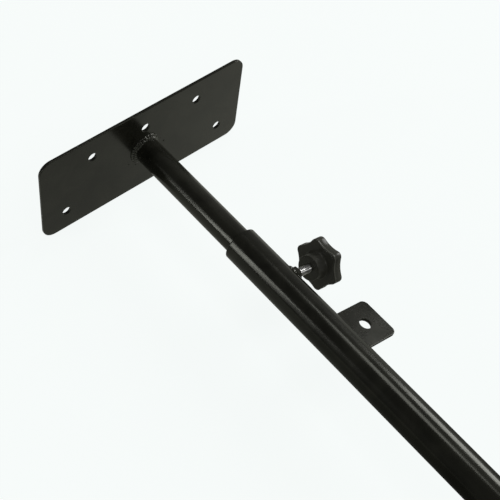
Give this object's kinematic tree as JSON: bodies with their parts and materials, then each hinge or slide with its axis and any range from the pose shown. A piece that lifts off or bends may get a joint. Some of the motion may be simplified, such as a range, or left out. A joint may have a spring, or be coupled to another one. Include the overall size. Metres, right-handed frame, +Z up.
{
  "type": "door security bar",
  "caption": "Telescopic door security bar: round tube sliding in a thicker tube, star-knob clamp screw, padlock lug and a drilled screw-on plate at each end.",
  "frame": {"origin": "centre of the near plate's mounting face, on the axis of the bar", "axes": "+X along the bar from the near plate to the far plate, +Y along the plates' long edges, +Z up across the plates; the bar lies on the long edges of its two plates"},
  "size_m": [0.7413, 0.2286, 0.1016],
  "materials": {
    "black_powder_coat": "semi-gloss black powder coat",
    "zinc_plated_steel": "bright zinc plate",
    "black_moulded_plastic": "satin black moulding",
    "natural_nylon": "natural nylon",
    "brass": "turned brass"
  },
  "bodies": {
    "outer_assembly": {"outer_tube": "black_powder_coat", "far_plate": "black_powder_coat", "far_plate_weld": "black_powder_coat", "clamp_nut": "black_powder_coat", "clamp_nut_weld": "black_powder_coat", "padlock_lug": "black_powder_coat", "padlock_lug_weld": "black_powder_coat"},
    "guide": {"guide_ring": "natural_nylon"},
    "inner_assembly": {"near_plate": "black_powder_coat", "near_plate_weld": "black_powder_coat", "inner_tube": "black_powder_coat"},
    "slug": {"pressure_slug": "brass"},
    "clamp_knob": {"clamp_screw": "zinc_plated_steel", "knob": "black_moulded_plastic"}
  },
  "joints": [
    {"name": "telescope", "type": "slide", "parent": "outer_assembly", "child": "guide", "axis": [-1, 0, 0], "range_m": [-0.12, 0.368]},
    {"name": "swivel", "type": "hinge", "parent": "guide", "child": "inner_assembly", "pos_m": [0, 0, 0], "axis": [1, 0, 0], "continuous": true},
    {"name": "screw_advance", "type": "slide", "parent": "outer_assembly", "child": "slug", "axis": [0, 0.9537, -0.3007], "range_m": [0, 0.00375]},
    {"name": "knob_turn", "type": "hinge", "parent": "slug", "child": "clamp_knob", "pos_m": [0.1893, 0, 0], "axis": [0, 0.9537, -0.3007], "range_deg": [0, 1080]}
  ],
  "couplings": [
    {"joint": "knob_turn", "follows": "screw_advance", "rad_per_m": 5026.5}
  ]
}
